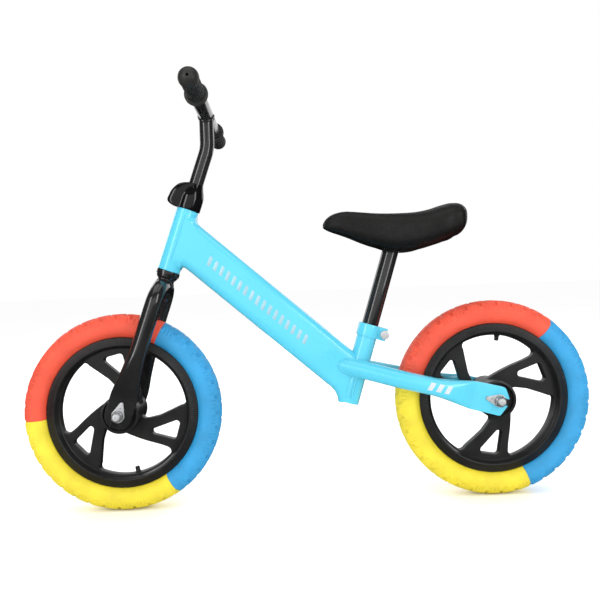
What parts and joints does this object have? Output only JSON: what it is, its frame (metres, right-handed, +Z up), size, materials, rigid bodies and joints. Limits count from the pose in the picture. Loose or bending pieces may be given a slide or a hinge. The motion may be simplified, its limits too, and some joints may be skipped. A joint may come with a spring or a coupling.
{
  "type": "balance bike",
  "caption": "Child's balance bike: sky blue steel frame, black fork and bar, black one-piece wheels, foam tyres in red, yellow and blue.",
  "frame": {"origin": "On the ground, midway between the two axles and between the two sides", "axes": "+X forward towards the front wheel, +Y to the rider's left, +Z up"},
  "size_m": [0.87, 0.3908, 0.6165],
  "materials": {
    "frame_paint": "gloss",
    "black_paint": "gloss",
    "black_plastic": "gloss",
    "red_foam": "satin",
    "yellow_foam": "satin",
    "blue_foam": "satin",
    "grip_rubber": "matte",
    "saddle_skin": "matte",
    "zinc": "satin",
    "steel": "satin"
  },
  "bodies": {
    "frame": {"head_tube": "frame_paint", "main_tube": "frame_paint", "seat_tube": "frame_paint", "chainstay_left": "frame_paint", "chainstay_right": "frame_paint", "headset_cup_lower": "black_paint", "headset_cup_upper": "black_paint", "seat_clamp": "frame_paint", "seat_clamp_bolt": "zinc", "seat_clamp_nut": "zinc", "rear_axle": "zinc", "rear_nut_left": "zinc", "rear_nut_right": "zinc", "rear_washer_left": "zinc", "rear_washer_right": "zinc", "rear_spacer_left": "steel", "rear_spacer_right": "steel"},
    "fork": {"steerer": "black_paint", "fork_blade_left": "black_paint", "fork_blade_right": "black_paint", "crown_race": "black_paint", "ball_ring_lower": "steel", "ball_ring_upper": "steel", "top_race": "black_paint", "stem_clamp": "black_paint", "stem_clamp_bolt": "zinc", "stem_clamp_nut": "zinc", "headset_cover": "black_plastic", "front_axle": "zinc", "front_nut_left": "zinc", "front_nut_right": "zinc", "front_washer_left": "zinc", "front_washer_right": "zinc", "front_spacer_left": "steel", "front_spacer_right": "steel"},
    "handlebar": {"stem_post": "black_paint", "crossbar": "black_paint", "grip_left": "grip_rubber", "grip_right": "grip_rubber"},
    "seat": {"seat_post": "black_paint", "saddle_bracket": "black_paint", "saddle_bolts": "zinc", "saddle_base": "black_plastic", "saddle_pad": "saddle_skin"},
    "front_wheel_set": {"front_rim": "black_plastic", "front_spokes": "black_plastic", "front_hub": "black_plastic", "front_tyre_red": "red_foam", "front_tyre_yellow": "yellow_foam", "front_tyre_blue": "blue_foam", "front_bearings": "steel", "front_sleeve": "steel"},
    "rear_wheel_set": {"rear_rim": "black_plastic", "rear_spokes": "black_plastic", "rear_hub": "black_plastic", "rear_tyre_red": "red_foam", "rear_tyre_yellow": "yellow_foam", "rear_tyre_blue": "blue_foam", "rear_bearings": "steel", "rear_sleeve": "steel"}
  },
  "joints": [
    {"name": "steering", "type": "hinge", "parent": "frame", "child": "fork", "pos_m": [0.21084, 0, 0.35712], "axis": [-0.3371, 0, 0.9415], "continuous": true},
    {"name": "handlebar_height", "type": "slide", "parent": "fork", "child": "handlebar", "axis": [-0.3371, 0, 0.9415], "range_m": [-0.03, 0.04]},
    {"name": "seat_height", "type": "slide", "parent": "frame", "child": "seat", "axis": [-0.3007, 0, 0.9537], "range_m": [-0.08, 0.03]},
    {"name": "front_wheel_spin", "type": "hinge", "parent": "fork", "child": "front_wheel_set", "pos_m": [0.285, 0, 0.15], "axis": [0, 1, 0], "continuous": true},
    {"name": "rear_wheel_spin", "type": "hinge", "parent": "frame", "child": "rear_wheel_set", "pos_m": [-0.285, 0, 0.15], "axis": [0, 1, 0], "continuous": true}
  ]
}
